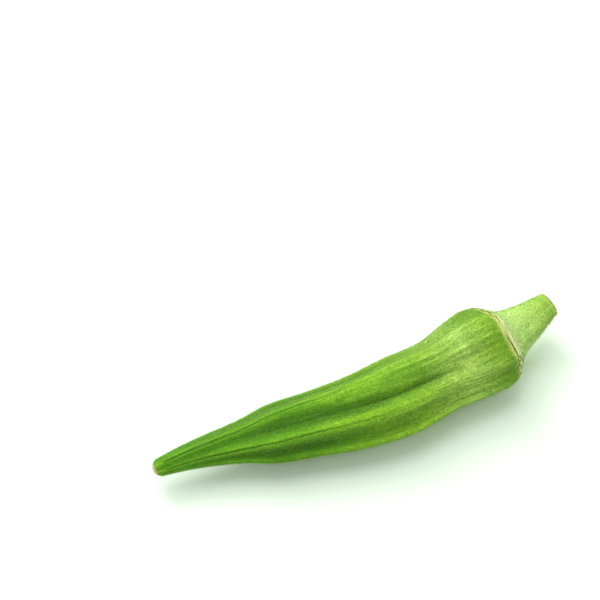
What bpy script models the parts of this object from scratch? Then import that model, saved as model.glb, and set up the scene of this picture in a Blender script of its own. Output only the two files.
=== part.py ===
"""Okra pod, picked and cut, lying on its side on a flat surface.

The pod is one continuous growth: a tapering ribbed capsule, the scar ring that its calyx
left, the flared cap behind that ring and the cut stalk. It is modelled as one closed skin,
a ribbed outline carried along a gently bent centre line.

Units are metres, +Z is up. The chord from tip to stalk runs along +X, and the origin is
under the middle of the pod, on the surface that it lies on.
"""

import bmesh
import bpy
import numpy as np

MM = 0.001

# ---- Driving dimensions: lengths in millimetres, angles in degrees ----
LENGTH = 97.5  # along the centre line, from the tip to the cut across the stalk
RING_AT = 82.1  # from the tip to the scar ring
STALK_RADIUS = 3.15
TIP_LENGTH = 2.2  # of the round blunt end where the flower dried off
TIP_RADIUS = 2.1

# The bend of the centre line: (share of the length, heading away from +X)
BEND = ((0.0, 0.0), (0.2, -11.5), (0.4, -10.5), (0.6, 3.0), (0.84, 8.5), (1.0, 17.5))
# The slope of the centre line, as the pod lies: (share of the length, angle above the surface)
SLOPE = ((0.0, 1.55), (0.4, 1.55), (0.84, 2.75), (1.0, 4.0))

# The capsule's radius over its rib crests: (distance from the tip, radius)
CAPSULE = (
    (2.2, 2.1), (4.0, 2.35), (12.0, 3.5), (20.0, 4.85), (28.0, 6.95), (36.0, 7.6),
    (46.0, 8.6), (56.0, 9.3), (66.0, 8.7), (73.5, 9.75), (77.9, 10.2),
)
# The flared cap: (distance beyond the ring, radius)
CAP = (
    (0.7, 8.2), (1.9, 7.0), (3.2, 6.1), (5.2, 5.3), (8.0, 4.55), (11.0, 3.85), (14.3, 3.15),
)
SHOULDER = 4.2  # length of the rounded edge where the capsule turns in to the ring
SHOULDER_DROP = 1.2  # how far the radius falls over that edge
SHOULDER_TURN = 52  # how far round its ellipse that edge has turned at the ring
GROOVE_WIDTH = 0.4  # the groove that the scar ring lies in
GROOVE_DEPTH = 0.2
RIM = 0.3  # height and depth of the cut's rounded rim
CUT_HOLLOW = 0.5  # how far the cut face has dried inwards

# Ribs: angle round the pod at the tip, the middle and the ring, from straight up towards -Y
RIBS = (
    (12.0, -15.0, -12.0),
    (57.0, 42.0, 60.0),
    (97.0, 93.0, 97.0),
    (148.0, 150.0, 149.0),
    (210.0, 210.0, 211.0),
    (284.0, 281.0, 284.0),
)
# Depth of the hollows between the ribs, as a share of the radius: (distance from the tip, share)
HOLLOWS = (
    (0.0, 0.03), (8.0, 0.1), (24.0, 0.17), (48.0, 0.17), (66.0, 0.15), (77.0, 0.125), (82.1, 0.06),
)
CREST_WIDTH = 0.8  # below 1 the ribs are narrower than the hollows
CAP_HOLLOW = 0.03

CAPSULE_ROWS = 30
CAP_ROWS = 11
ROUND_STEPS = 44
PATH_STEPS = 400


def through(stations, x):
    """A smooth curve through the stations, which never overshoots them.

    Each span is a cubic whose end slopes are the harmonic means of the slopes of the spans
    on either side, or zero at a turning point.
    """
    at, value = np.array(stations, float).T
    width = np.diff(at)
    rise = np.diff(value) / width
    same_way = rise[:-1] * rise[1:] > 0
    slope = np.concatenate([rise[:1], np.zeros(len(rise) - 1), rise[-1:]])
    slope[1:-1][same_way] = (2 * rise[:-1] * rise[1:])[same_way] / (rise[:-1] + rise[1:])[same_way]
    span = np.clip(np.searchsorted(at, x, side="right") - 1, 0, len(width) - 1)
    t = np.clip((x - at[span]) / width[span], 0, 1)
    ends = value[span] * (1 + 2 * t) * (1 - t) ** 2 + value[span + 1] * t**2 * (3 - 2 * t)
    return ends + width[span] * t * (1 - t) * (slope[span] * (1 - t) - slope[span + 1] * t)


def outline_rows():
    """(distance from the tip, radius) of every outline, from the tip to the cut face.

    The tip is a quarter ellipse, the shoulder is the first part of one, and the capsule and
    the cap between them follow their smooth curves.
    """
    end_turn = np.radians([22, 45, 67])
    tip = np.column_stack([TIP_LENGTH * (1 - np.cos(end_turn)), TIP_RADIUS * np.sin(end_turn)])
    shoulder_from = RING_AT - SHOULDER
    along = np.linspace(CAPSULE[0][0], shoulder_from, CAPSULE_ROWS)
    capsule = np.column_stack([along, through(CAPSULE, along)])
    last_turn = np.radians(SHOULDER_TURN)
    edge_turn = last_turn * np.array([0.25, 0.5, 0.75, 1.0])
    shoulder = np.column_stack([
        shoulder_from + SHOULDER * np.sin(edge_turn) / np.sin(last_turn),
        CAPSULE[-1][1] - SHOULDER_DROP * (1 - np.cos(edge_turn)) / (1 - np.cos(last_turn)),
    ])
    floor = CAPSULE[-1][1] - SHOULDER_DROP - GROOVE_DEPTH
    groove = [(RING_AT + 0.1, floor), (RING_AT + GROOVE_WIDTH, floor)]
    behind = np.linspace(CAP[0][0], CAP[-1][0], CAP_ROWS)
    cap = np.column_stack([RING_AT + behind, through(CAP, behind)])
    cut = [
        (LENGTH - RIM, STALK_RADIUS),
        (LENGTH, STALK_RADIUS - RIM),
        (LENGTH - 0.6 * CUT_HOLLOW, 0.5 * STALK_RADIUS),
    ]
    return np.concatenate([tip, capsule, shoulder, groove, cap, cut])


def centre_line(along):
    """The centre line's points and its three directions: forward, up and sideways to -Y.

    Heading and slope are smooth curves of the distance, and the line is their running sum.
    """
    share = np.linspace(0, 1, PATH_STEPS)
    heading, slope = np.radians(through(BEND, share)), np.radians(through(SLOPE, share))
    forward = np.column_stack([
        np.cos(heading) * np.cos(slope), np.sin(heading) * np.cos(slope), np.sin(slope),
    ])
    steps = 0.5 * (forward[1:] + forward[:-1]) * LENGTH / (PATH_STEPS - 1)
    points = np.concatenate([np.zeros((1, 3)), np.cumsum(steps, axis=0)])
    at = along / LENGTH
    centre = np.column_stack([np.interp(at, share, points[:, k]) for k in range(3)])
    forward = np.column_stack([np.interp(at, share, forward[:, k]) for k in range(3)])
    side = np.column_stack([forward[:, 1], -forward[:, 0], np.zeros(len(at))])
    side /= np.linalg.norm(side, axis=1)[:, None]
    return centre, forward, np.cross(side, forward), side


def hollowness(along, angle):
    """0 on a rib's crest and 1 midway between two ribs, for each row and each angle.

    Every rib wanders smoothly through its three angles. The place between two ribs is a
    share of the gap, and the hollow is a raised cosine of it, drawn wider by CREST_WIDTH.
    """
    stations = np.array([0.0, 0.5 * LENGTH, RING_AT])
    up_to_ring = np.minimum(along, RING_AT)
    rib = np.array([through(np.column_stack([stations, turns]), up_to_ring) for turns in RIBS])
    rib = np.concatenate([rib[-1:] - 360, rib, rib[:1] + 360])
    hollow = np.empty((len(along), len(angle)))
    for row in range(len(along)):
        turn = np.where(angle > rib[-1, row], angle - 360, angle)
        place = np.interp(turn, rib[:, row], np.arange(len(rib)))
        hollow[row] = (0.5 - 0.5 * np.cos(2 * np.pi * place)) ** CREST_WIDTH
    return hollow


def pod_points():
    """All outlines of the skin, as rows of points, and the two points that close its ends.

    A point is the centre line's point plus the local radius along its angle, and the radius
    is the crest's, less the hollow between the ribs.
    """
    along, crest = outline_rows().T
    centre, _, up, side = centre_line(along)
    angle = np.linspace(0, 360, ROUND_STEPS, endpoint=False)
    depth = np.where(along > RING_AT, CAP_HOLLOW, through(HOLLOWS, np.minimum(along, HOLLOWS[-1][0])))
    radius = crest[:, None] * (1 - depth[:, None] * hollowness(along, angle))
    turn = np.radians(angle)[None, :, None]
    rows = centre[:, None] + radius[..., None] * (np.cos(turn) * up[:, None] + np.sin(turn) * side[:, None])
    ends, _, _, _ = centre_line(np.array([0.0, LENGTH - CUT_HOLLOW]))
    return rows, ends


def closed_skin(rows, ends):
    """A mesh of the outlines, each joined to the next by quads and each end by a fan."""
    skin = bmesh.new()
    loops = [[skin.verts.new(point * MM) for point in row] for row in rows]
    for near, far in zip(loops, loops[1:]):
        for k in range(ROUND_STEPS):
            skin.faces.new((near[k - 1], near[k], far[k], far[k - 1]))
    for loop, end in ((loops[0], ends[0]), (loops[-1], ends[1])):
        middle = skin.verts.new(end * MM)
        for k in range(ROUND_STEPS):
            skin.faces.new((loop[k - 1], loop[k], middle))
    bmesh.ops.recalc_face_normals(skin, faces=skin.faces)
    return skin


def set_down(skin):
    """Moves the pod until its box stands centred over the origin."""
    points = np.array([vertex.co for vertex in skin.verts])
    low, high = points.min(axis=0), points.max(axis=0)
    middle = 0.5 * (low + high)
    bmesh.ops.translate(skin, verts=skin.verts, vec=(-middle[0], -middle[1], -low[2]))


def green_skin():
    """Soft yellow-green, faintly glossy under its down."""
    material = bpy.data.materials.new("green_skin")
    material.use_nodes = True
    surface = material.node_tree.nodes["Principled BSDF"]
    surface.inputs["Base Color"].default_value = (0.2, 0.42, 0.045, 1)
    surface.inputs["Roughness"].default_value = 0.5
    surface.inputs["Metallic"].default_value = 0.0
    return material


def okra_pod():
    skin = closed_skin(*pod_points())
    set_down(skin)
    mesh = bpy.data.meshes.new("okra_pod")
    skin.to_mesh(mesh)
    skin.free()
    mesh.materials.append(green_skin())
    mesh.shade_smooth()
    pod = bpy.data.objects.new("okra_pod", mesh)
    bpy.context.scene.collection.objects.link(pod)
    return pod


for startup_object in list(bpy.data.objects):
    bpy.data.objects.remove(startup_object)
okra_pod()
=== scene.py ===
"""Looks of a fresh okra pod lying on its side: skin, scar ring, dried tip, cut stalk and down.

Every surface is worked out on a grid whose columns follow the pod's six ribs. A place round
the pod is counted in ribs: 0 is the first rib's crest, 0.5 the bottom of the hollow after
it, 1 the next crest, and 6 is the first crest again. Lengths are millimetres until a mesh is
made, angles of the pod's shape are degrees, and +Z is up.
"""

import bpy
import numpy as np
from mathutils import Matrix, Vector


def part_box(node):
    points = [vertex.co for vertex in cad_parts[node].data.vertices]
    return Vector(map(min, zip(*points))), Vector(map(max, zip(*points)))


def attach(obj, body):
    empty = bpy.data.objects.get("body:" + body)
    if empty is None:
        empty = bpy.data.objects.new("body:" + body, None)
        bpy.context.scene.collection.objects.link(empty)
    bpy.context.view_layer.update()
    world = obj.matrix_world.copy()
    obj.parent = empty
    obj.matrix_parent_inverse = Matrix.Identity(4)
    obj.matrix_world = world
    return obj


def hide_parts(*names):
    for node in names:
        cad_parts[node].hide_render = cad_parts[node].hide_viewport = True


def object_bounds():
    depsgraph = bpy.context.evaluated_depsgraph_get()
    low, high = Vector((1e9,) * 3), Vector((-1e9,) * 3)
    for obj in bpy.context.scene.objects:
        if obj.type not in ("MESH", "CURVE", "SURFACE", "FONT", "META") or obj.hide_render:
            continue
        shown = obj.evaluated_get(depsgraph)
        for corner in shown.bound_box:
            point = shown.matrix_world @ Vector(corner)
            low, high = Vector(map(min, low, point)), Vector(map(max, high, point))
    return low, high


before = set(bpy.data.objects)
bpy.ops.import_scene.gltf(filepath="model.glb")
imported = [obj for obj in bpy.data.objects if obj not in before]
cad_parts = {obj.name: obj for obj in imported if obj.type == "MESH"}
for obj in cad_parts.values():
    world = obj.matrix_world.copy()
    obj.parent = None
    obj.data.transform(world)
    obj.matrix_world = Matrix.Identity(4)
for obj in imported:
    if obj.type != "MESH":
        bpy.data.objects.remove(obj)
CAD_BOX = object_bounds()
LOW, HIGH = (np.array(corner) for corner in CAD_BOX)

MM = 0.001
RIB_COUNT = 6

# ---- The pod's driving dimensions, as its solid has them ----
LENGTH = 97.5  # along the centre line, from the tip to the cut across the stalk
RING_AT = 82.1  # from the tip to the scar ring
STALK_RADIUS = 3.15
TIP_LENGTH = 2.2
TIP_RADIUS = 2.1
# (share of the length, heading away from +X) and (share of the length, angle above the floor)
BEND = ((0.0, 0.0), (0.2, -11.5), (0.4, -10.5), (0.6, 3.0), (0.84, 8.5), (1.0, 17.5))
SLOPE = ((0.0, 1.55), (0.4, 1.55), (0.84, 2.75), (1.0, 4.0))
# (distance from the tip, radius over the crests) and (distance beyond the ring, radius)
CAPSULE = (
    (2.2, 2.1), (4.0, 2.35), (12.0, 3.5), (20.0, 4.85), (28.0, 6.95), (36.0, 7.6),
    (46.0, 8.6), (56.0, 9.3), (66.0, 8.7), (73.5, 9.75), (77.9, 10.2),
)
CAP = (
    (0.7, 8.2), (1.9, 7.0), (3.2, 6.1), (5.2, 5.3), (8.0, 4.55), (11.0, 3.85), (14.3, 3.15),
)
SHOULDER = 4.2
SHOULDER_DROP = 1.2
SHOULDER_TURN = 52
CUT_HOLLOW = 0.5
RIM = 0.3
# Angle of each rib at the tip, the middle and the ring, from straight up towards -Y
RIBS = (
    (12.0, -15.0, -12.0),
    (57.0, 42.0, 60.0),
    (97.0, 93.0, 97.0),
    (148.0, 150.0, 149.0),
    (210.0, 210.0, 211.0),
    (284.0, 281.0, 284.0),
)
# Depth of the hollows between the ribs, as a share of the radius: (distance from the tip, share)
HOLLOWS = (
    (0.0, 0.03), (8.0, 0.1), (24.0, 0.17), (48.0, 0.17), (66.0, 0.15), (77.0, 0.125), (82.1, 0.06),
)
CREST_WIDTH = 0.8  # below 1 the ribs are narrower than the hollows
CAP_HOLLOW = 0.03
# The deepest line of the first hollow, as a share of the way to the second rib
FIRST_VALLEY = ((0.0, 0.5), (28.0, 0.44), (45.0, 0.62), (58.0, 0.69), (74.0, 0.69), (82.1, 0.62))

# ---- Fine relief of the capsule ----
SUTURE_DEPTH = 0.18  # the seam along each crest, where a ripe pod splits
SUTURE_LEFT = (0.15, 0.26, 0.3, 0.5, 0.2, 0.35)  # the share of each rib's seam left near the ring
SUTURE_HALF_WIDTH = (0.29, 0.17)  # near the tip, and further on
SUTURE_COVER = 0.88  # how fully its dark line hides the skin's colour
SUTURE_WANDER = 0.02  # how far it strays from its crest, as a share of a hollow
SUTURE_LIP = (0.35, 2.6)  # as shares of its depth and half width: height, and how far out
# Distances from the tip over which the seam begins, thins, fades and ends
SUTURE_BEGINS, SUTURE_THINS, SUTURE_FADES = (1.2, 4), (10, 34), (27, 54)
SUTURE_ENDS = (RING_AT - 5, RING_AT - 2)
# Distances over which all folds, weak ribs and lumps begin and end
RELIEF_BEGINS, RELIEF_ENDS = (2, 10), (RING_AT - 3, RING_AT - 0.7)
MINOR_RIBS = 30  # weak ribs that run between the main ones
MINOR_WANDER, MINOR_HALF_WIDTH, MINOR_HEIGHT = (0.015, 0.05), (0.03, 0.08), (-0.12, 0.16)
MINOR_START, MINOR_END = (14, 56), (64, 82)
LUMPS = 26  # slow swellings over the seeds
LUMP_AT, LUMP_HEIGHT, LUMP_LONG, LUMP_WIDE = (14, 76), (-0.14, 0.14), (3, 8), (0.15, 0.45)
# Folds of the skin on the side that is seen: where each runs (from, to), its place at both
# ends, how far it stands up or sinks in, and its half width as a share of a hollow
# Through the relief tints, folds also paint light where they stand up and shade where they sink in.
FOLDS = (
    (20, 44, 0.45, 0.62, -0.20, 0.06), (42, 70, 0.62, 0.70, -0.30, 0.055),
    (70, 81, 0.69, 0.66, -0.05, 0.06), (38, 58, 0.40, 0.47, 0.16, 0.07),
    (60, 80, 0.30, 0.37, 0.16, 0.06), (62, 79, 0.20, 0.24, -0.14, 0.045),
    (66, 80, 0.50, 0.54, -0.16, 0.035), (34, 74, 0.90, 0.85, 0.22, 0.06),
    (70, 81, 1.12, 1.13, -0.14, 0.035), (60, 80, 1.22, 1.20, 0.14, 0.05),
    (64, 80, 1.32, 1.30, -0.13, 0.04), (22, 46, 1.50, 1.54, -0.16, 0.08),
    (64, 81, 1.50, 1.44, -0.26, 0.055), (44, 62, 1.66, 1.70, 0.12, 0.05),
    (56, 80, 1.74, 1.76, -0.16, 0.04), (48, 66, 0.14, 0.18, -0.12, 0.05),
    (54, 70, 0.50, 0.56, 0.12, 0.04), (34, 80, 1.50, 1.48, 0.36, 0.24),
    (62, 81, 0.70, 0.66, 0.26, 0.20), (48, 68, 0.25, 0.32, -0.16, 0.20),
    (68, 81, 0.40, 0.42, -0.12, 0.03), (72, 81, 0.84, 0.80, -0.12, 0.03),
    (46, 70, 1.10, 1.14, 0.08, 0.05), (50, 72, 1.90, 1.92, 0.12, 0.05),
    (26, 46, 1.22, 1.26, 0.08, 0.07), (30, 50, 0.22, 0.26, -0.08, 0.05),
    # The last fold, a low swell along the top edge, is there mostly to paint light on that edge.
    (12, 30, 0.70, 0.74, 0.08, 0.06), (24, 68, 5.80, 5.80, 0.14, 0.16),
)

# ---- Scar ring, cap and cut; waves are (height, how many in one turn, phase) ----
RING_WAVES = ((0.16, 6, 0.6), (0.12, 3, 2.0), (0.07, 11, 0.0))
RING_SOFTNESS = 2.2  # half the length over which the pod strays with its ring
SCAR_DEPTH = 0.16  # the narrow groove behind the shoulder
SCAR_MIDDLE = 0.25
SCAR_HALF_WIDTH = 0.2
CAP_FLUTE = (0.07, 5, 1.0)
TWISTED_FLUTE = (0.045, 11, 0.3)  # its phase grows by this much with every millimetre
RIM_WAVES = ((0.12, 3, 0.4), (0.07, 8, 2.0))
RIM_SHRUNK = 0.05
RIM_CREASES = ((0.62, 0.2, 0.06), (4.4, 0.16, 0.08))  # (place, depth, half width)

# ---- Scar fibres ----
FIBRE_RADIUS = 0.12
FIBRE_STEPS = 720
FIBRE_SIDES = 8
FIBRES_BEFORE_RING = 0.15  # how far their middle lies on the capsule's side
FIBRES_APART = 0.58  # how far each strays from that middle
LINKS = 12
LINK_WAVES = ((2.2, 2, 0.7), (1.4, 5, 0.0))  # they make the links uneven in length
LINK_OPEN = 0.3  # above 0 the links are longer than the stretches where the fibres touch

# ---- Down ----
HAIRS = 47000  # on each half of the pod
HAIR_LENGTH = (0.22, 0.55)
HAIR_RADIUS = 0.031
HAIR_ROOT = 0.02  # how far a hair's foot stands inside the skin
HAIR_LEAN = 0.38  # how far hairs lean at random, for each unit of height
HAIR_LEAN_TO_TIP = 0.25
CAP_DENSITY = 0.6  # of the capsule's hairs on each square millimetre
BARE_TIP = 1.2
BARE_BEFORE_RING = 1.0
BARE_BEHIND_RING = 0.7
BARE_BEFORE_CUT = 1.5

# ---- Rows and columns of the skin's grid ----
COLUMNS = RIB_COUNT * 48
TIP_ROWS = 14
CAPSULE_ROWS = 188
SHOULDER_ROWS = 20
GROOVE_ROWS = 9
CAP_ROWS = 60
RIM_ROWS = 6
FACE_ROWS = 14
PATH_STEPS = 600

# ---- Colours: screen colours from 0 to 255, each at its share of the way along its ramp ----
PAINT_SHARE = 0.83  # of a screen colour's strength that paint has, because the light is bright
# Hollows are darker than the crests partly in their own green and partly as painted shade.
VALLEY_COLOURS_WITH_SHADE = (
    (0.0, 96, 164, 30), (0.1, 86, 154, 24), (0.3, 70, 128, 22), (0.45, 84, 140, 26),
    (0.6, 124, 174, 46), (0.73, 176, 214, 104), (0.8, 134, 182, 54),
)
CREST_COLOURS = (
    (0.0, 134, 200, 44), (0.1, 124, 192, 36), (0.3, 110, 176, 32), (0.45, 148, 206, 46),
    (0.62, 158, 208, 64), (0.74, 180, 220, 108), (0.81, 146, 194, 60),
)
CAP_COLOURS = (
    (0.0, 244, 250, 186), (0.06, 234, 252, 180), (0.2, 214, 250, 144), (0.5, 204, 244, 128),
    (0.8, 188, 232, 104), (1.0, 172, 214, 86),
)
CUT_COLOURS = (  # from the middle of the cut to its rim
    (0.0, 176, 178, 104), (0.3, 206, 208, 142), (0.55, 190, 200, 120), (0.66, 132, 136, 66),
    (0.76, 190, 194, 118), (0.88, 112, 92, 42), (1.0, 150, 136, 72),
)
FIBRE_COLOURS = ((0.34, 92, 94, 22), (0.48, 124, 128, 38), (0.6, 152, 164, 64), (0.7, 204, 212, 122))
HAIR_COLOURS = ((0.0, 124, 190, 36), (0.45, 154, 210, 58), (0.85, 184, 230, 84), (1.0, 232, 246, 152))
HAIR_ROOT_COLOUR = (120, 172, 58)
SEAM_COLOUR = (38, 92, 10)
BRIM_COLOUR = (222, 234, 134)
SCAR_COLOUR = (230, 232, 168)
TIP_COLOUR = (232, 226, 168)
TIP_EDGE_COLOUR = (150, 140, 60)
RIM_COLOUR = (158, 150, 78)

# ---- Tints: multipliers of red, green and blue, each at its value of the noise or the relief ----
# Painted shade in sunk folds, partly a deeper green too, and painted light on raised ones.
RELIEF_SHADE_AND_LIGHT_TINTS = ((0.1, 0.5, 0.62, 0.44), (0.36, 0.8, 0.87, 0.76), (0.5, 1, 1, 1), (0.75, 1.26, 1.18, 1.2))
STREAK_TINTS = ((0.3, 0.74, 0.82, 0.7), (0.5, 1, 1, 1), (0.7, 1.16, 1.12, 1.1))
FINE_TINTS = ((0.36, 0.7, 0.79, 0.66), (0.52, 1, 1, 1), (0.66, 1.2, 1.15, 1.18))
MOTTLE_TINTS = ((0.32, 0.84, 0.89, 0.8), (0.68, 1.12, 1.08, 1.08))
SPECK_TINTS = ((0.34, 0.7, 0.78, 0.66), (0.52, 1, 1, 1), (0.68, 1.5, 1.36, 1.8))
CUT_TINTS = ((0.35, 0.62, 0.64, 0.57), (0.6, 1.1, 1.1, 1.1))

# ---- Noise and surface of the skin: (scale, detail, roughness, stretch) of each noise ----
STREAK_NOISE = (7.0, 4.0, 0.6, (1, 1, 0.5))
FINE_STREAK_NOISE = (32.0, 3.0, 0.55, (1, 1, 0.3))
MOTTLE_NOISE = (170.0, 3.0, 0.55)
SPECK_NOISE = (2300.0, 2.0, 0.6)
FIBRE_NOISE = (420.0, 3.0, 0.6)
STREAK_RUN = 0.02  # how far the streaks' noise moves on with each millimetre of the pod
SKIN_ROUGHNESS = (0.46, 0.68)
BUMP_STRENGTH = 0.9
BUMP_HEIGHT = 0.00016  # metres

# ---- Floor, light and camera ----
# Pale green: painted green light bounced from the pod into its shadow; where lit, the floor is brighter
# than white and shows white.
FLOOR_GREEN_BOUNCE_COLOUR = (0.845, 0.945, 0.84, 1)
SURROUND_COLOUR = (0.98, 1.0, 0.97, 1)
SURROUND_STRENGTH = 0.68
# name, azimuth, elevation, distance and width in pod lengths, power
LIGHTS = (
    ("key", 192, 76, 4.5, 3.6, 1.6),
    ("back", 192, 48, 5.0, 2.6, 1.3),
    ("fill", -60, 40, 5.0, 3.0, 0.24),
)
CAMERA_LENS = 120
CAMERA_DISTANCE = 0.4625  # metres
CAMERA_AZIMUTH = -26.2
CAMERA_ELEVATION = 55
CAMERA_AIM = (0.0015, 0.0367)  # the point of the floor that it looks at, in metres


# ---------------------------------------------------------------- curves

def through(stations, x):
    """A smooth curve through the stations, which never overshoots them.

    Each span is a cubic whose end slopes are the harmonic means of the slopes of the spans
    on either side, or zero at a turning point.
    """
    at, value = np.array(stations, float).T
    width = np.diff(at)
    rise = np.diff(value) / width
    same_way = rise[:-1] * rise[1:] > 0
    slope = np.concatenate([rise[:1], np.zeros(len(rise) - 1), rise[-1:]])
    slope[1:-1][same_way] = (2 * rise[:-1] * rise[1:])[same_way] / (rise[:-1] + rise[1:])[same_way]
    span = np.clip(np.searchsorted(at, x, side="right") - 1, 0, len(width) - 1)
    t = np.clip((x - at[span]) / width[span], 0, 1)
    ends = value[span] * (1 + 2 * t) * (1 - t) ** 2 + value[span + 1] * t**2 * (3 - 2 * t)
    return ends + width[span] * t * (1 - t) * (slope[span] * (1 - t) - slope[span + 1] * t)


def smooth_step(low, high, x):
    """0 at low, 1 at high, and the cubic 3t^2 - 2t^3 between them; low may be the larger."""
    t = np.clip((x - low) / (high - low), 0, 1)
    return t * t * (3 - 2 * t)


def bump_at(x, centre, half_width):
    """A bell curve: exp(-(distance / half width)^2)."""
    return np.exp(-(((x - centre) / half_width) ** 2))


def waves(turn, parts, wave=np.sin):
    """The sum of waves round the pod: height * wave(how many in one turn * turn + phase)."""
    return sum(height * wave(count * turn + phase) for height, count, phase in parts)


def turn_of(place):
    """A place as an even turn in radians, 2 pi for all the ribs."""
    return 2 * np.pi * place / RIB_COUNT


def from_place(place, middle):
    """How far round a place is from the middle, in ribs, by the shorter way: -3 to 3."""
    half_way = 0.5 * RIB_COUNT
    return (place - middle + half_way) % RIB_COUNT - half_way


# ---------------------------------------------------------------- shape of the pod

def centre_line(along):
    """The centre line's points and its up and sideways directions, for any distances.

    Heading and slope are smooth curves of the distance, and the line is their running sum.
    """
    share = np.linspace(0, 1, PATH_STEPS)
    heading, slope = np.radians(through(BEND, share)), np.radians(through(SLOPE, share))
    forward = np.column_stack([
        np.cos(heading) * np.cos(slope), np.sin(heading) * np.cos(slope), np.sin(slope),
    ])
    steps = 0.5 * (forward[1:] + forward[:-1]) * LENGTH / (PATH_STEPS - 1)
    points = np.concatenate([np.zeros((1, 3)), np.cumsum(steps, axis=0)])
    at = np.asarray(along) / LENGTH

    def read(table):
        return np.stack([np.interp(at, share, table[:, k]) for k in range(3)], axis=-1)

    centre, forward = read(points), read(forward)
    side = np.stack([forward[..., 1], -forward[..., 0], np.zeros(at.shape)], axis=-1)
    side /= np.linalg.norm(side, axis=-1, keepdims=True)
    return centre, np.cross(side, forward), side


def turn_at(along, place):
    """Angle round the pod, in radians from straight up towards -Y, of a place counted in ribs.

    Each rib wanders smoothly through its three angles, and a place between two ribs is that
    share of the gap between them.
    """
    stations = np.array([0.0, 0.5 * LENGTH, RING_AT])
    up_to_ring = np.clip(along, 0, RING_AT)
    rib = [through(np.column_stack([stations, turns]), up_to_ring) for turns in RIBS]
    rib.append(rib[0] + 360)
    turn = np.zeros(np.broadcast(along, place).shape)
    for k in range(RIB_COUNT):
        share = np.clip(place - k, 0, 1)
        turn = turn + share * (rib[k + 1] - rib[k])
    return np.radians(turn + rib[0])


def hollowness(place):
    """0 on a crest and 1 midway between two: a raised cosine drawn wider by CREST_WIDTH."""
    return (0.5 - 0.5 * np.cos(2 * np.pi * place)) ** CREST_WIDTH


def skewed(along, place):
    """Place, with the first hollow's middle moved to its deepest line by a power of the share."""
    share = np.clip(place, 0, 1)
    power = np.log(0.5) / np.log(through(FIRST_VALLEY, np.clip(along, 0, RING_AT)))
    return np.where((place > 0) & (place < 1), share ** power, place + 0 * along)


def profile():
    """(distance from the tip, radius) of every row, from the tip to the middle of the cut.

    The tip is a quarter ellipse, the shoulder is the first part of one, and the capsule and
    the cap follow their smooth curves. Between them lies the scar's narrow groove. The cut has
    a rounded rim, and its face sinks in smoothly.
    """
    end_turn = np.radians(np.linspace(5, 84, TIP_ROWS))
    tip = np.column_stack([TIP_LENGTH * (1 - np.cos(end_turn)), TIP_RADIUS * np.sin(end_turn)])
    shoulder_from = RING_AT - SHOULDER
    along = np.linspace(CAPSULE[0][0], shoulder_from, CAPSULE_ROWS)
    capsule = np.column_stack([along, through(CAPSULE, along)])
    last_turn = np.radians(SHOULDER_TURN)
    edge_turn = last_turn * np.linspace(0.06, 1, SHOULDER_ROWS)
    shoulder = np.column_stack([
        shoulder_from + SHOULDER * np.sin(edge_turn) / np.sin(last_turn),
        CAPSULE[-1][1] - SHOULDER_DROP * (1 - np.cos(edge_turn)) / (1 - np.cos(last_turn)),
    ])
    brim = CAPSULE[-1][1] - SHOULDER_DROP
    fall = (brim - CAP[0][1]) / CAP[0][0]
    across = np.linspace(0.04, 0.62, GROOVE_ROWS)
    groove = np.column_stack([
        RING_AT + across,
        brim - fall * across - SCAR_DEPTH * bump_at(across, SCAR_MIDDLE, SCAR_HALF_WIDTH),
    ])
    behind = np.linspace(CAP[0][0], CAP[-1][0], CAP_ROWS)
    cap = np.column_stack([RING_AT + behind, through(CAP, behind)])
    rim_turn = np.radians(np.linspace(0, 90, RIM_ROWS))
    rim = np.column_stack([
        LENGTH - RIM + RIM * np.sin(rim_turn), STALK_RADIUS - RIM * (1 - np.cos(rim_turn)),
    ])
    inward = np.linspace(0.88, 0.05, FACE_ROWS)
    face = np.column_stack([
        LENGTH - CUT_HOLLOW * smooth_step(0.92, 0.3, inward), STALK_RADIUS * inward,
    ])
    return np.concatenate([tip, capsule, shoulder, groove, cap[1:], rim, face])


def ring_wander(place):
    """How far the scar ring strays along the pod, in millimetres."""
    return waves(turn_of(place), RING_WAVES)


# ---------------------------------------------------------------- fine relief

def to_seam(along, place, crest):
    """Distance across the skin, in millimetres, from the nearest crest's seam.

    Every seam strays from its crest by a slow sine of the distance from the tip.
    """
    strayed = place - SUTURE_WANDER * np.sin(along / 6.0) * smooth_step(10, 30, along)
    return np.abs(strayed - np.round(strayed)) * 2 * np.pi * crest / RIB_COUNT


def suture_strength(along, place):
    """How deep each crest's seam is: full over the tip half, then falling to what is left."""
    rib = np.round(place) % RIB_COUNT
    left = np.array(SUTURE_LEFT)[rib.astype(int)]
    fade = 1 - smooth_step(*SUTURE_FADES, along) * (1 - left)
    return fade * smooth_step(*SUTURE_BEGINS, along) * (1 - smooth_step(*SUTURE_ENDS, along))


def seam_half_width(along):
    """Half the width of a seam, in millimetres: wide near the tip, thin further on."""
    wide, thin = SUTURE_HALF_WIDTH
    return wide - (wide - thin) * smooth_step(*SUTURE_THINS, along)


def seam_relief(along, place, crest):
    """A bell-shaped groove along each seam, with a faint lip on either side of it."""
    away = to_seam(along, place, crest)
    half_width, (lip, lip_at) = seam_half_width(along), SUTURE_LIP
    groove = bump_at(away, 0, half_width) - lip * bump_at(away, lip_at * half_width, half_width)
    return -SUTURE_DEPTH * suture_strength(along, place) * groove


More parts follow.
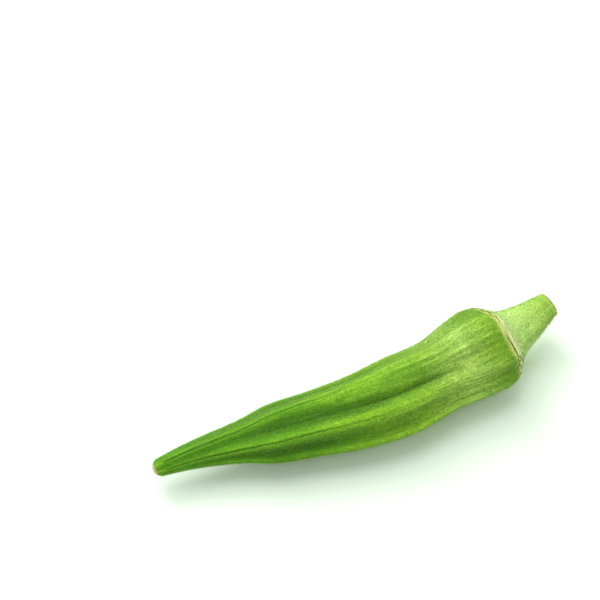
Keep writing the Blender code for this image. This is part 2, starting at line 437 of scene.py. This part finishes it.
def folds_and_lumps(along, place):
    """Folds, minor ribs and lumps, in millimetres.

    A fold is a bell across the pod, along a straight run of places, with soft ends. Each
    minor rib is a low bell that wanders along a slow sine, and a lump is a bell both ways.
    """
    draw = np.random.default_rng(7)
    relief = 0 * (along + place)
    for start, end, first, last, height, half_width in FOLDS:
        share = np.clip((along - start) / (end - start), 0, 1)
        middle = first + (last - first) * share + 0.012 * np.sin(along / 3.1 + 5 * first)
        soft = 0.3 * (end - start)
        run = smooth_step(start, start + soft, along)
        run = run * (1 - smooth_step(end - 0.6 * soft, end + 2, along))
        relief = relief + height * run * bump_at(place, middle, half_width)
    for _ in range(MINOR_RIBS):
        middle, wander = draw.uniform(0, RIB_COUNT), draw.uniform(*MINOR_WANDER)
        phase, half_width = draw.uniform(0, 6.28), draw.uniform(*MINOR_HALF_WIDTH)
        height = draw.uniform(*MINOR_HEIGHT)
        start, end = draw.uniform(*MINOR_START), draw.uniform(*MINOR_END)
        run = smooth_step(start, start + 12, along) * (1 - smooth_step(end - 8, end + 2, along))
        away = from_place(place, middle + wander * np.sin(along / 11 + phase))
        relief = relief + height * run * bump_at(away, 0, half_width)
    for _ in range(LUMPS):
        middle, at = draw.uniform(0, RIB_COUNT), draw.uniform(*LUMP_AT)
        height, long = draw.uniform(*LUMP_HEIGHT), draw.uniform(*LUMP_LONG)
        wide = draw.uniform(*LUMP_WIDE)
        away = from_place(place, middle)
        relief = relief + height * bump_at(along, at, long) * bump_at(away, 0, wide)
    return relief * smooth_step(*RELIEF_BEGINS, along) * (1 - smooth_step(*RELIEF_ENDS, along))


def cap_relief(along, place):
    """Faint flutes down the cap and the stalk, and the dried rim's waves and creases."""
    behind, turn = along - RING_AT, turn_of(place)
    height, count, twist = TWISTED_FLUTE
    flutes = waves(turn, (CAP_FLUTE, (height, count, twist * behind)), np.cos)
    dried = waves(turn, RIM_WAVES, np.cos) - RIM_SHRUNK
    for middle, depth, half_width in RIM_CREASES:
        dried = dried - depth * bump_at(from_place(place, middle), 0, half_width)
    near_cut = smooth_step(LENGTH - 5, LENGTH - 0.5, along)
    return smooth_step(1.0, 4.0, behind) * flutes + near_cut * dried


# ---------------------------------------------------------------- the grid

def pod_grid():
    """Points, distances, places and relief of the whole skin, with a row for each outline.

    A point is the centre line's point plus the local radius along its turn. The radius is
    the profile's, less the hollow between the ribs, plus the fine relief.
    """
    along, crest = (column[:, None] for column in profile().T)
    place = np.arange(COLUMNS)[None, :] / COLUMNS * RIB_COUNT
    strayed = along + bump_at(along, RING_AT + 0.2, RING_SOFTNESS) * ring_wander(place)
    up_to_ring = np.clip(along, 0, HOLLOWS[-1][0])
    depth = np.where(along > RING_AT, CAP_HOLLOW, through(HOLLOWS, up_to_ring))
    relief = folds_and_lumps(along, place)
    fine = relief + seam_relief(along, place, crest) + cap_relief(along, place)
    rim_share = np.clip(crest / STALK_RADIUS, 0, 1)
    radius = crest * (1 - depth * hollowness(skewed(along, place))) + fine * rim_share
    turn = turn_at(along, place)[..., None]
    centre, up, side = centre_line(strayed)
    points = centre + radius[..., None] * (np.cos(turn) * up + np.sin(turn) * side)
    return points, along + 0 * place, place + 0 * along, relief


def set_down(points):
    """Moves design points to where the solid lies: its box's middle in X and Y, its foot in Z."""
    low, high = np.array(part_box("okra_pod")) / MM
    grid = POD[0].reshape(-1, 3)
    move = 0.5 * (low + high - grid.min(axis=0) - grid.max(axis=0))
    move[2] = low[2] - grid[:, 2].min()
    return points + move


# ---------------------------------------------------------------- meshes

def unit(vectors):
    """Each row of vectors, made one long."""
    return vectors / np.linalg.norm(vectors, axis=1, keepdims=True)


def grid_faces(rows, columns):
    """Corner numbers of the quads of a grid whose last column joins its first."""
    row, column = np.arange(rows - 1)[:, None], np.arange(columns)[None, :]
    after = (column + 1) % columns
    quads = [
        row * columns + column, row * columns + after,
        (row + 1) * columns + after, (row + 1) * columns + column,
    ]
    return np.stack(np.broadcast_arrays(*quads), axis=-1).reshape(-1, 4)


def make_piece(name, points, faces, material):
    """A mesh object of points in millimetres, smooth shaded, with its faces given as corners."""
    mesh = bpy.data.meshes.new(name)
    mesh.from_pydata((points * MM).tolist(), [], faces)
    mesh.materials.append(material)
    mesh.shade_smooth()
    mesh.update()
    piece = bpy.data.objects.new(name, mesh)
    bpy.context.scene.collection.objects.link(piece)
    return piece


def add_attribute(piece, name, values):
    """Stores one number for each point of the piece, for its material to read."""
    layer = piece.data.attributes.new(name, "FLOAT", "POINT")
    layer.data.foreach_set("value", np.ascontiguousarray(values, np.float32).ravel())


def add_map(piece, uv):
    """Gives the piece a map of its own, with one pair of numbers for each face corner."""
    layer = piece.data.uv_layers.new(name="OFBake")
    layer.data.foreach_set("uv", uv.astype(np.float32).ravel())


def pod_skin():
    """The whole skin: the grid's quads, and a fan at the tip and in the cut face."""
    points, along, place, relief = POD
    rows, columns = along.shape
    placed = set_down(points)
    ends = np.stack([placed[0].mean(axis=0), placed[-1].mean(axis=0)])
    column = np.arange(columns)
    after = (column + 1) % columns
    last = (rows - 1) * columns
    tip_fan = np.column_stack([after, column, np.full(columns, rows * columns)])
    cut_fan = np.column_stack([last + column, last + after, np.full(columns, rows * columns + 1)])
    faces = grid_faces(rows, columns).tolist() + tip_fan.tolist() + cut_fan.tolist()
    skin = make_piece("pod_skin", np.concatenate([placed.reshape(-1, 3), ends]), faces, skin_material())
    add_map(skin, skin_map(rows, columns))
    crest = profile()[:, 1][:, None]
    on_face = np.arange(rows)[:, None] >= rows - FACE_ROWS
    for name, grid, tip_value, cut_value in (
        ("along_mm", along, 0.0, LENGTH),
        ("seam_mm", to_seam(along, place, crest) / seam_half_width(along), 0.0, 0.0),
        ("hollow", hollowness(skewed(along, place)), 0.0, 0.0),
        ("seam_strength", suture_strength(along, place), 0.0, 0.0),
        ("relief_mm", relief, 0.0, 0.0),
        ("cut_radius", np.where(on_face, crest / STALK_RADIUS, 1.0) + 0 * place, 1.0, 0.0),
        ("round_x", np.cos(turn_of(place)), 0.0, 0.0),
        ("round_y", np.sin(turn_of(place)), 0.0, 0.0),
    ):
        add_attribute(skin, name, np.concatenate([grid.ravel(), [tip_value, cut_value]]))
    return skin


def skin_map(rows, columns):
    """The skin's map: u runs once round the pod and v from the tip to the cut's middle."""
    middle = POD[0].mean(axis=1)
    steps = np.linalg.norm(np.diff(middle, axis=0), axis=1) + np.abs(np.diff(profile()[:, 1]))
    run = 0.01 + 0.98 * np.concatenate([[0], np.cumsum(steps)]) / steps.sum()
    row, column = np.arange(rows - 1)[:, None], np.arange(columns)
    u = np.stack([column, column + 1, column + 1, column], axis=-1) / columns
    v = np.stack([run[row], run[row], run[row + 1], run[row + 1]], axis=-1)
    quads = np.stack(np.broadcast_arrays(u[None], v), axis=-1).reshape(-1, 2)
    left, right, between = column / columns, (column + 1) / columns, (column + 0.5) / columns
    fans = []
    for u, v in (
        ((right, left, between), (run[0], run[0], 0.001)),
        ((left, right, between), (run[-1], run[-1], 0.999)),
    ):
        fans.append(np.stack([np.stack(u, axis=-1), [v] * columns], axis=-1).reshape(-1, 2))
    return np.concatenate([quads, *fans])


def scar_fibre(name, side):
    """One dried fibre of the ring scar: a closed tube that winds round the pod at its brim.

    Its path follows the ring, strayed to one side by the lobes of a sine whose lengths are
    uneven, so that the two fibres part and meet like the links of a chain.
    """
    place = np.arange(FIBRE_STEPS) / FIBRE_STEPS * RIB_COUNT
    turn = turn_of(place)
    winding = LINKS * turn + waves(turn, LINK_WAVES)
    apart = 0.92 * np.clip(np.sin(winding) + LINK_OPEN, -0.08, 1) + 0.05 * np.sin(19 * turn + side)
    wobble = waves(turn, ((0.05, 31, 2 * side), (0.04, 17, 0)))
    at = RING_AT - FIBRES_BEFORE_RING + FIBRES_APART * side * apart + wobble
    along, crest = profile()[:-FACE_ROWS].T
    behind = smooth_step(RING_AT - 0.2, RING_AT + 0.2, at)
    depth = HOLLOWS[-1][1] + (CAP_HOLLOW - HOLLOWS[-1][1]) * behind
    radius = np.interp(at, along, crest) * (1 - depth * hollowness(place)) + 0.3 * FIBRE_RADIUS
    angle = turn_at(at, place)[:, None]
    centre, up, sideways = centre_line(at + ring_wander(place))
    path = centre + radius[:, None] * (np.cos(angle) * up + np.sin(angle) * sideways)
    outward = unit(path - centre)
    ahead = unit(np.roll(path, -1, axis=0) - np.roll(path, 1, axis=0))
    across = np.cross(ahead, outward)
    thick = FIBRE_RADIUS * (0.85 + 0.3 * np.sin(13 * turn + side) * np.sin(5 * turn))
    roll = (np.arange(FIBRE_SIDES) / FIBRE_SIDES * 2 * np.pi)[None, :, None]
    tube = path[:, None] + thick[:, None, None] * (
        np.cos(roll) * outward[:, None] + np.sin(roll) * across[:, None]
    )
    step, corner = np.arange(FIBRE_STEPS)[:, None], np.arange(FIBRE_SIDES)[None, :]
    step_after, corner_after = (step + 1) % FIBRE_STEPS, (corner + 1) % FIBRE_SIDES
    faces = np.stack([
        step * FIBRE_SIDES + corner, step * FIBRE_SIDES + corner_after,
        step_after * FIBRE_SIDES + corner_after, step_after * FIBRE_SIDES + corner,
    ], axis=-1).reshape(-1, 4)
    return make_piece(name, set_down(tube.reshape(-1, 3)), faces.tolist(), fibre_material())


def down(name, first_rib, last_rib):
    """Short hairs between two ribs: thin closed spikes of three sides, stood on the grid.

    Cells are drawn by their area, and each hair stands at a random spot of its cell, along
    the cell's normal, bent aside at random and a little towards the tip. Hairs that would
    reach below the floor are left out.
    """
    draw = np.random.default_rng(11 + first_rib)
    points, along, place, _ = POD
    placed = set_down(points)
    near, far = placed[:-1], placed[1:]
    near_next, far_next = np.roll(near, -1, axis=1), np.roll(far, -1, axis=1)
    normal = np.cross(near_next - near, far - near)
    area = np.linalg.norm(normal, axis=-1)
    normal /= area[..., None]
    where = along[:-1]
    density = np.select([
        where < BARE_TIP, where < RING_AT - BARE_BEFORE_RING,
        where < RING_AT + BARE_BEHIND_RING, where < LENGTH - BARE_BEFORE_CUT,
    ], [0.0, 1.0, 0.0, CAP_DENSITY], 0.0)
    between = (place[:-1] >= first_rib) & (place[:-1] < last_rib)
    total = np.cumsum((area * density * between).ravel())
    cell = np.searchsorted(total, draw.uniform(0, total[-1], HAIRS))
    u, v = draw.uniform(0, 1, (2, HAIRS, 1))
    corner = [grid.reshape(-1, 3)[cell] for grid in (near, near_next, far, far_next)]
    near_edge = (1 - u) * corner[0] + u * corner[1]
    far_edge = (1 - u) * corner[2] + u * corner[3]
    root = (1 - v) * near_edge + v * far_edge
    out = normal.reshape(-1, 3)[cell]
    to_tip = unit(corner[0] - corner[2])
    lean = draw.normal(0, HAIR_LEAN, (HAIRS, 3)) + HAIR_LEAN_TO_TIP * to_tip
    way = unit(out + lean - out * np.sum(out * lean, axis=1, keepdims=True))
    shorter_at_tip = 0.6 + 0.4 * smooth_step(2, 14, where.ravel()[cell])
    length = draw.uniform(*HAIR_LENGTH, (HAIRS, 1)) * shorter_at_tip[:, None]
    sideways = unit(np.cross(way, to_tip))
    other = np.cross(way, sideways)
    root = root - HAIR_ROOT * out
    foot = [
        root + HAIR_RADIUS * (np.cos(turn) * sideways + np.sin(turn) * other)
        for turn in np.radians([0, 120, 240])
    ]
    spikes = np.stack([*foot, root + way * length], axis=1)
    spikes = spikes[spikes[:, :, 2].min(axis=1) > 0]
    first = 4 * np.arange(len(spikes))[:, None, None]
    sides = np.array([[0, 1, 3], [1, 2, 3], [2, 0, 3], [2, 1, 0]])
    faces = (first + sides).reshape(-1, 3).tolist()
    hairs = make_piece(name, spikes.reshape(-1, 3), faces, down_material())
    tone = draw.uniform(0, 1, len(spikes))
    add_attribute(hairs, "tone", np.repeat(tone, 4))
    add_attribute(hairs, "height", np.tile([0.0, 0.0, 0.0, 1.0], len(spikes)))
    add_map(hairs, down_map(tone))
    return hairs


def down_map(tone):
    """The hairs' map: u is a hair's tone and v runs from its root to its point."""
    u = 0.02 + 0.94 * tone[:, None, None] + np.array([0.0, 0.02, 0.01])
    side_v, foot_v = np.array([0.02, 0.02, 0.98]), np.array([0.02, 0.02, 0.06])
    v = np.stack([side_v, side_v, side_v, foot_v])
    return np.stack(np.broadcast_arrays(u, v[None]), axis=-1)


# ---------------------------------------------------------------- materials

def paint(red, green, blue):
    """A screen colour, 0 to 255, as the linear colour that shaders use, times PAINT_SHARE."""
    share = np.array([red, green, blue]) / 255
    linear = np.where(share < 0.04045, share / 12.92, ((share + 0.055) / 1.055) ** 2.4)
    return (*(PAINT_SHARE * linear).tolist(), 1.0)


class Nodes:
    """Short ways to add and join shader nodes of one material."""

    def __init__(self, name):
        self.material = bpy.data.materials.new(name)
        self.material.use_nodes = True
        self.tree = self.material.node_tree
        self.surface = self.tree.nodes["Principled BSDF"]

    def add(self, kind, **settings):
        node = self.tree.nodes.new("ShaderNode" + kind)
        for key, value in settings.items():
            setattr(node, key, value)
        return node

    def put(self, socket, value):
        """Joins a socket to another, or sets it to a number or colour."""
        if isinstance(value, bpy.types.NodeSocket):
            self.tree.links.new(value, socket)
        else:
            socket.default_value = value

    def look(self, **values):
        """Sets inputs of the surface, each named with _ for a space."""
        for name, value in values.items():
            self.put(self.surface.inputs[name.replace("_", " ")], value)

    def read(self, name):
        return self.add("Attribute", attribute_name=name).outputs["Fac"]

    def maths(self, operation, first, second):
        node = self.add("Math", operation=operation)
        self.put(node.inputs[0], first)
        self.put(node.inputs[1], second)
        return node.outputs[0]

    def plus(self, first, second):
        return self.maths("ADD", first, second)

    def times(self, first, second):
        return self.maths("MULTIPLY", first, second)

    def strayed(self, value, noise, width):
        """A value moved by noise, up to about half the width either way."""
        return self.plus(value, self.times(self.maths("SUBTRACT", noise, 0.5), width))

    def step(self, value, low, high):
        """0 at low and 1 at high, smooth between; low may be the larger."""
        node = self.add("MapRange", interpolation_type="SMOOTHSTEP")
        flip = low > high
        self.put(node.inputs["Value"], value)
        self.put(node.inputs["From Min"], min(low, high))
        self.put(node.inputs["From Max"], max(low, high))
        self.put(node.inputs["To Min"], 1.0 if flip else 0.0)
        self.put(node.inputs["To Max"], 0.0 if flip else 1.0)
        return node.outputs[0]

    def mix(self, share, first, second, blend="MIX"):
        """Colours blended by a share: inputs 6 and 7 and output 2 are the node's colour sockets."""
        node = self.add("Mix", data_type="RGBA", blend_type=blend)
        self.put(node.inputs["Factor"], share)
        self.put(node.inputs[6], first)
        self.put(node.inputs[7], second)
        return node.outputs[2]

    def tinted(self, share, colour, tint):
        return self.mix(share, colour, tint, "MULTIPLY")

    def ramp(self, value, stops):
        node = self.add("ValToRGB")
        self.put(node.inputs[0], value)
        elements = node.color_ramp.elements
        while len(elements) < len(stops):
            elements.new(0.5)
        for element, (at, colour) in zip(elements, stops):
            element.position = at
            element.color = colour
        return node.outputs[0]

    def colours(self, value, stops):
        return self.ramp(value, [(at, paint(*colour)) for at, *colour in stops])

    def tints(self, value, stops):
        return self.ramp(value, [(at, (*tint, 1)) for at, *tint in stops])

    def noise(self, where, scale, detail, roughness, stretch=(1, 1, 1)):
        """Cloudy noise of Object coordinates, or of any vector, stretched by a Mapping node."""
        mapping = self.add("Mapping")
        self.put(mapping.inputs["Vector"], where)
        mapping.inputs["Scale"].default_value = stretch
        node = self.add("TexNoise")
        self.put(node.inputs["Vector"], mapping.outputs[0])
        node.inputs["Scale"].default_value = scale
        node.inputs["Detail"].default_value = detail
        node.inputs["Roughness"].default_value = roughness
        return node.outputs[0]


def skin_material():
    """Fresh plant skin: deep green at the tip, yellow-green towards the ring, mint on the cap.

    The capsule, its seams, the cap, the dried ends and the cut are painted one over another.
    Specks go over everything, and faint streaks and specks also raise the surface.
    """
    n = Nodes("pod_skin")
    place, along = n.add("TexCoord").outputs["Object"], n.read("along_mm")
    ribbon = n.add("CombineXYZ")
    n.put(ribbon.inputs[0], n.read("round_x"))
    n.put(ribbon.inputs[1], n.read("round_y"))
    n.put(ribbon.inputs[2], n.times(along, STREAK_RUN))
    streak = n.noise(ribbon.outputs[0], *STREAK_NOISE)
    fine_streak = n.noise(ribbon.outputs[0], *FINE_STREAK_NOISE)
    mottle = n.noise(place, *MOTTLE_NOISE)
    speck = n.noise(place, *SPECK_NOISE)
    fine_tint, mottle_tint = n.tints(fine_streak, FINE_TINTS), n.tints(mottle, MOTTLE_TINTS)

    colour = capsule_colour(n, along, n.tints(streak, STREAK_TINTS), fine_tint, mottle_tint)
    frayed = n.strayed(n.read("seam_mm"), fine_streak, 1.6)
    seam = n.times(n.step(frayed, 1.5, 0.2), n.read("seam_strength"))
    colour = n.mix(n.times(seam, SUTURE_COVER), colour, paint(*SEAM_COLOUR))
    colour = with_cap(n, along, colour, mottle, fine_tint, mottle_tint)
    colour = with_dry_ends(n, along, colour, mottle)
    cut = n.read("cut_radius")
    cut_face = n.tinted(0.9, n.colours(cut, CUT_COLOURS), n.tints(speck, CUT_TINTS))
    colour = n.mix(n.step(cut, 0.93, 0.87), colour, cut_face)
    speck_share = n.maths("SUBTRACT", 0.8, n.times(n.step(along, RING_AT - 2, RING_AT), 0.5))
    colour = n.tinted(speck_share, colour, n.tints(speck, SPECK_TINTS))

    rough = n.add("MapRange")
    n.put(rough.inputs["Value"], mottle)
    n.put(rough.inputs["To Min"], SKIN_ROUGHNESS[0])
    n.put(rough.inputs["To Max"], SKIN_ROUGHNESS[1])
    bump = n.add("Bump")
    bump.inputs["Strength"].default_value = BUMP_STRENGTH
    bump.inputs["Distance"].default_value = BUMP_HEIGHT
    n.put(bump.inputs["Height"], n.plus(n.times(fine_streak, 1.2), n.times(speck, 0.6)))
    n.look(
        Base_Color=colour, Roughness=rough.outputs[0], Normal=bump.outputs[0],
        Specular_IOR_Level=0.12,
        Sheen_Weight=0.03, Sheen_Roughness=0.4, Sheen_Tint=(0.8, 1.0, 0.5, 1),
        Subsurface_Weight=0.08, Subsurface_Radius=(0.5, 1.0, 0.1), Subsurface_Scale=0.0006,
    )
    return n.material


def capsule_colour(n, along, streak_tint, fine_tint, mottle_tint):
    """Crest and hollow ramps; hollows and sunk folds partly painted shade, raised folds painted light.
    """
    share = n.times(along, 1 / LENGTH)
    on_crest = n.step(n.read("hollow"), 0.85, 0.05)
    # The hollows' ramp is darker partly in their own green and partly as painted shade.
    colour = n.mix(on_crest, n.colours(share, VALLEY_COLOURS_WITH_SHADE), n.colours(share, CREST_COLOURS))
    raised = n.plus(n.times(n.read("relief_mm"), 1.4), 0.5)
    # Painted shade where a fold sinks in, partly a deeper green too, and painted light where one stands
    # up.
    colour = n.tinted(0.9, colour, n.tints(raised, RELIEF_SHADE_AND_LIGHT_TINTS))
    colour = n.tinted(0.8, colour, streak_tint)
    colour = n.tinted(0.75, colour, fine_tint)
    return n.tinted(0.85, colour, mottle_tint)


def with_cap(n, along, colour, mottle, fine_tint, mottle_tint):
    """Adds the pale brim before the ring, the cap behind it and the cream between the fibres."""
    brim = n.step(n.strayed(along, mottle, 1.6), RING_AT - 1.9, RING_AT - 0.6)
    colour = n.mix(n.times(brim, 0.85), colour, paint(*BRIM_COLOUR))
    behind = n.times(n.maths("SUBTRACT", along, RING_AT), 1 / (LENGTH - RING_AT))
    cap = n.tinted(0.35, n.colours(behind, CAP_COLOURS), mottle_tint)
    cap = n.tinted(0.5, cap, fine_tint)
    colour = n.mix(n.step(along, RING_AT + 0.05, RING_AT + 0.4), colour, cap)
    scar = n.times(
        n.step(along, RING_AT, RING_AT + 0.15), n.step(along, RING_AT + 0.5, RING_AT + 0.3),
    )
    return n.mix(n.times(scar, n.step(mottle, 0.35, 0.55)), colour, paint(*SCAR_COLOUR))


def with_dry_ends(n, along, colour, mottle):
    """Adds the cream tip with its brown edge, and the brown rim of the cut."""
    tip_edge = n.times(n.step(along, 2.2, 0.9), n.step(mottle, 0.5, 0.66))
    colour = n.mix(n.times(tip_edge, 0.8), colour, paint(*TIP_EDGE_COLOUR))
    tip = n.step(n.strayed(along, mottle, 1.2), 0.75, 0.25)
    colour = n.mix(tip, colour, paint(*TIP_COLOUR))
    rim = n.step(n.strayed(along, mottle, 1.0), LENGTH - 0.45, LENGTH + 0.05)
    return n.mix(n.times(rim, 0.9), colour, paint(*RIM_COLOUR))


def fibre_material():
    """Dried fibre of the scar: olive brown, paler and greener in patches."""
    n = Nodes("scar_fibre")
    patch = n.noise(n.add("TexCoord").outputs["Object"], *FIBRE_NOISE)
    n.look(
        Base_Color=n.colours(patch, FIBRE_COLOURS), Roughness=n.plus(n.times(patch, 0.3), 0.5),
        Specular_IOR_Level=0.25,
    )
    return n.material


def down_material():
    """Hairs: pale green glossy bristles, greener at the root, each of its own tone."""
    n = Nodes("down")
    tone = n.read("tone")
    body = n.colours(tone, HAIR_COLOURS)
    root = n.mix(0.5, body, paint(*HAIR_ROOT_COLOUR))
    n.look(
        Base_Color=n.mix(n.step(n.read("height"), 0.0, 0.5), root, body),
        Roughness=n.plus(n.times(tone, 0.2), 0.35), Specular_IOR_Level=0.4,
    )
    return n.material


# ---------------------------------------------------------------- floor, light and camera

def towards(azimuth, elevation):
    """The direction to something at an azimuth, counted from -Y towards +X, and an elevation."""
    a, e = np.radians(azimuth), np.radians(elevation)
    return np.array([np.sin(a) * np.cos(e), -np.cos(a) * np.cos(e), np.sin(e)])


def studio():
    """A pale matt floor, broad soft lights from above and behind, a weak one, and a surround."""
    middle, size = 0.5 * (LOW + HIGH), float(np.max(HIGH - LOW))
    bpy.ops.mesh.primitive_plane_add(size=40 * size, location=(0, 0, LOW[2] - 0.0001))
    floor = bpy.context.object
    floor.name = "floor"
    n = Nodes("floor_white")
    n.look(Base_Color=FLOOR_GREEN_BOUNCE_COLOUR, Roughness=0.9, Specular_IOR_Level=0.1)
    floor.data.materials.append(n.material)

    world = bpy.data.worlds.new("white_surround")
    world.use_nodes = True
    world.node_tree.nodes["Background"].inputs["Color"].default_value = SURROUND_COLOUR
    world.node_tree.nodes["Background"].inputs["Strength"].default_value = SURROUND_STRENGTH
    bpy.context.scene.world = world

    for name, azimuth, elevation, away, width, power in LIGHTS:
        way = towards(azimuth, elevation)
        light = bpy.data.lights.new(name, "AREA")
        light.shape = "DISK"
        light.size = width * size
        light.energy = power * (away * size) ** 2 * np.pi
        lamp = bpy.data.objects.new(name, light)
        lamp.location = Vector(middle + way * away * size)
        lamp.rotation_euler = Vector(way).to_track_quat("Z", "Y").to_euler()
        bpy.context.scene.collection.objects.link(lamp)
    bpy.context.scene.view_settings.view_transform = "Standard"


def camera():
    """Looks down over the tip's outer side, with the pod low and right of the middle."""
    back = towards(CAMERA_AZIMUTH, CAMERA_ELEVATION)
    view = bpy.data.cameras.new("camera")
    view.lens = CAMERA_LENS
    view.sensor_width = 36
    view.clip_start = 0.01
    eye = bpy.data.objects.new("camera", view)
    eye.location = Vector(np.array([*CAMERA_AIM, LOW[2]]) + back * CAMERA_DISTANCE)
    eye.rotation_euler = Vector(back).to_track_quat("Z", "Y").to_euler()
    bpy.context.scene.collection.objects.link(eye)
    bpy.context.scene.camera = eye


POD = pod_grid()
skin = pod_skin()
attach(skin, "root")
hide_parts("okra_pod")

for fibre_name, fibre_side in (("scar_fibre_front", -1), ("scar_fibre_back", 1)):
    fibre = scar_fibre(fibre_name, fibre_side)
    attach(fibre, "root")

for hairs_name, first_rib, last_rib in (("down_upper_half", 0, 3), ("down_lower_half", 3, 6)):
    hairs = down(hairs_name, first_rib, last_rib)
    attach(hairs, "root")

studio()
camera()
